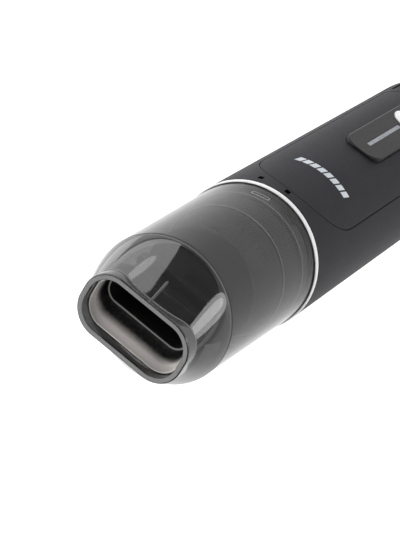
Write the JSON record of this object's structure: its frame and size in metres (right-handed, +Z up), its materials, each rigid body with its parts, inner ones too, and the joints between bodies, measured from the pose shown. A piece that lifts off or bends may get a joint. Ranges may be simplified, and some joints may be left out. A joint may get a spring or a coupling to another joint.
{
  "type": "handheld vacuum",
  "caption": "Cylindrical cordless handheld vacuum with a smoked clear dust cup, flat rectangular mouth, washable filter, raised control pad and a sprung power button.",
  "frame": {"origin": "centre of the flat resting face at the rear end", "axes": "+Z up the axis from the rear end to the mouth, -Y towards the control side, +X to the right when facing the controls"},
  "size_m": [0.072, 0.0739, 0.33],
  "materials": {
    "body_plastic": "fine matte charcoal moulded plastic",
    "pad_plastic": "soft-touch near-black plastic",
    "light_guide": "translucent grey light guide",
    "button_white": "white satin plastic",
    "mark_ink": "black inlay",
    "trim_silver": "bright silver-white lacquered plastic",
    "smoke_clear": "smoked clear plastic, polished",
    "duct_grey": "satin warm grey plastic",
    "seal_rubber": "black rubber",
    "flap_rubber": "black rubber",
    "inner_plastic": "grey moulded plastic",
    "filter_plastic": "grey moulded plastic",
    "filter_mesh": "fine woven nylon screen",
    "filter_paper": "pleated filter paper",
    "motor_steel": "zinc-plated steel",
    "shaft_steel": "ground steel",
    "fan_plastic": "black moulded plastic",
    "cell_wrap": "blue shrink wrap",
    "nickel": "nickel strip",
    "board_green": "green solder mask",
    "switch_metal": "tinned steel",
    "lamp_white": "lamp body",
    "foam_black": "open-cell foam",
    "foot_rubber": "rubber",
    "screw_steel": "zinc-plated steel"
  },
  "bodies": {
    "root": {"body_shell": "body_plastic", "top_cover": "body_plastic", "rear_cap": "body_plastic", "lock_marks": "mark_ink", "control_pad": "pad_plastic", "light_strip": "light_guide", "tact_switch": "switch_metal", "control_board": "board_green", "board_screws": "screw_steel", "status_leds": "lamp_white", "exhaust_foam": "foam_black", "cap_screws": "screw_steel", "base_pad": "foot_rubber", "front_collar": "inner_plastic", "collar_seal": "seal_rubber", "fan_housing": "inner_plastic", "motor_mount": "seal_rubber", "motor_can": "motor_steel", "battery_cells": "cell_wrap", "battery_holder": "fan_plastic", "cell_tabs": "nickel", "main_board": "board_green", "charge_port": "switch_metal"},
    "lock_ring": {"trim_ring": "trim_silver"},
    "cup": {"dust_cup": "smoke_clear", "seam_seal": "seal_rubber", "nozzle": "smoke_clear", "inlet_duct": "duct_grey", "flap_pin": "shaft_steel"},
    "flap": {"inlet_flap": "flap_rubber"},
    "filter": {"filter_seal": "seal_rubber", "filter_frame": "filter_plastic", "filter_core": "filter_plastic", "filter_screen": "filter_mesh", "filter_media": "filter_paper", "filter_cap": "filter_plastic"},
    "button": {"power_button": "button_white", "switch_plunger": "fan_plastic"},
    "fan": {"motor_shaft": "shaft_steel", "impeller": "fan_plastic"}
  },
  "joints": [
    {"name": "cup_twist", "type": "hinge", "parent": "root", "child": "lock_ring", "pos_m": [0, 0, 0.2205], "axis": [0, 0, 1], "range_deg": [0, 24]},
    {"name": "cup_pull", "type": "slide", "parent": "lock_ring", "child": "cup", "axis": [0, 0, 1], "range_m": [0, 0.08]},
    {"name": "flap_swing", "type": "hinge", "parent": "cup", "child": "flap", "pos_m": [0, -0.0128, 0.3001], "axis": [-1, 0, 0], "range_deg": [0, 60], "stiffness_Nm_per_rad": 0.002, "springref_deg": -28.65},
    {"name": "filter_pull", "type": "slide", "parent": "root", "child": "filter", "axis": [0, 0, 1], "range_m": [0, 0.012]},
    {"name": "power_press", "type": "slide", "parent": "root", "child": "button", "axis": [0, 1, 0], "range_m": [0, 0.0008], "stiffness_N_per_m": 900, "springref_m": -0.0006},
    {"name": "fan_spin", "type": "hinge", "parent": "root", "child": "fan", "pos_m": [0, 0, 0.2], "axis": [0, 0, 1], "continuous": true}
  ]
}
